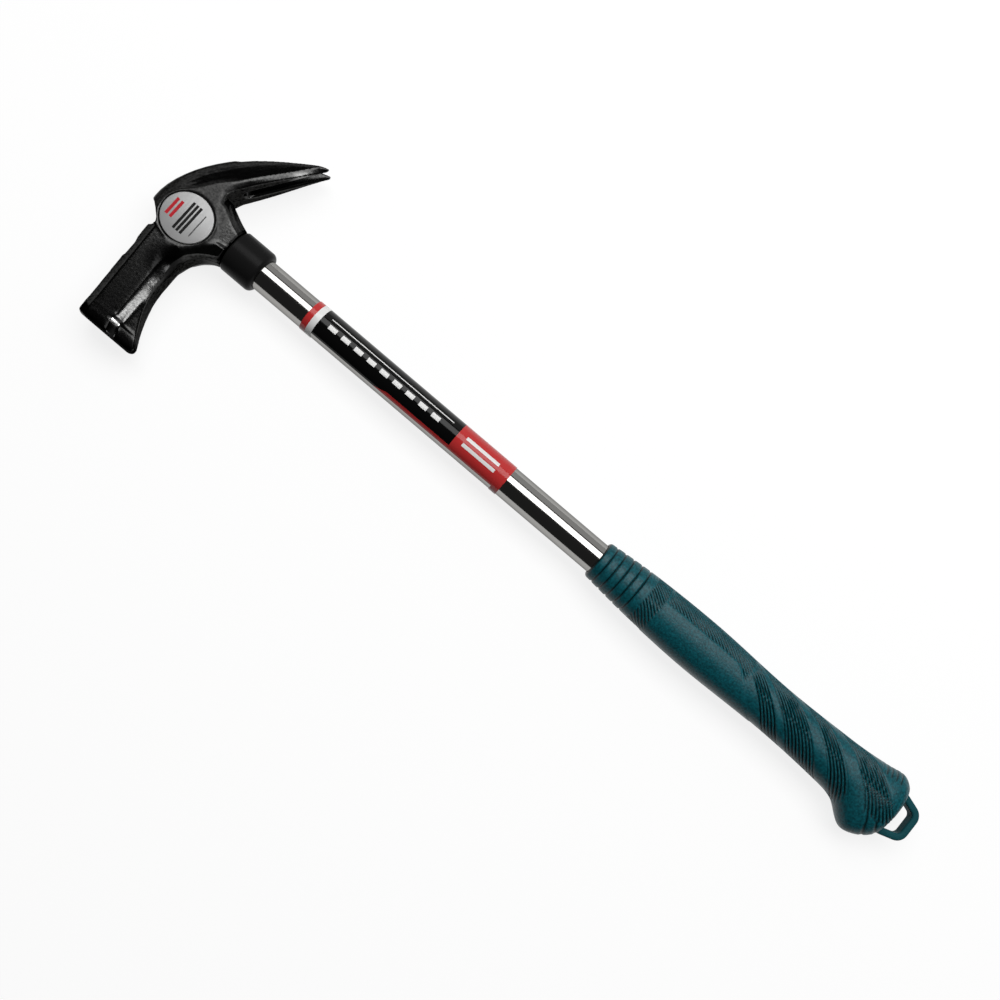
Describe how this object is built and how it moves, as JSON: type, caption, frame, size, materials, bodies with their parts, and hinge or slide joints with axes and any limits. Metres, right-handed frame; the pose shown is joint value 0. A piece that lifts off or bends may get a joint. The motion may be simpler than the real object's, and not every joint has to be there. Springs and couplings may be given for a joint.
{
  "type": "claw hammer",
  "caption": "Claw hammer with a forged black head, a nail rest with a magnet, a slotted claw, a chromed tube shaft, a moulded rubber grip and a hanging loop.",
  "frame": {"origin": "middle of the underside of the hammer's box, with the hammer lying on its far cheek", "axes": "+X along the shaft from the head to the loop, +Y to the claw, +Z out of the cheek with the badge"},
  "size_m": [0.4496, 0.1232, 0.025],
  "materials": {
    "forged_steel": "black oxide on a drop-forged surface, satin, slightly grained",
    "magnet": "nickel plated, satin",
    "badge_metal": "satin, printed with plain bars",
    "collar_plastic": "moulded, satin",
    "chromed_tube": "polished",
    "pin_steel": "plain drawn",
    "printed_film": "printed in plain black, red and white fields",
    "grip_rubber": "moulded, matte, ribbed",
    "loop_plastic": "moulded, satin"
  },
  "bodies": {
    "root": {"head": "forged_steel", "nail_magnet": "magnet", "cheek_badge": "badge_metal", "neck_collar": "collar_plastic", "handle_tube": "chromed_tube", "cross_pin": "pin_steel", "shaft_label": "printed_film", "grip": "grip_rubber", "hang_loop": "loop_plastic"}
  },
  "joints": []
}
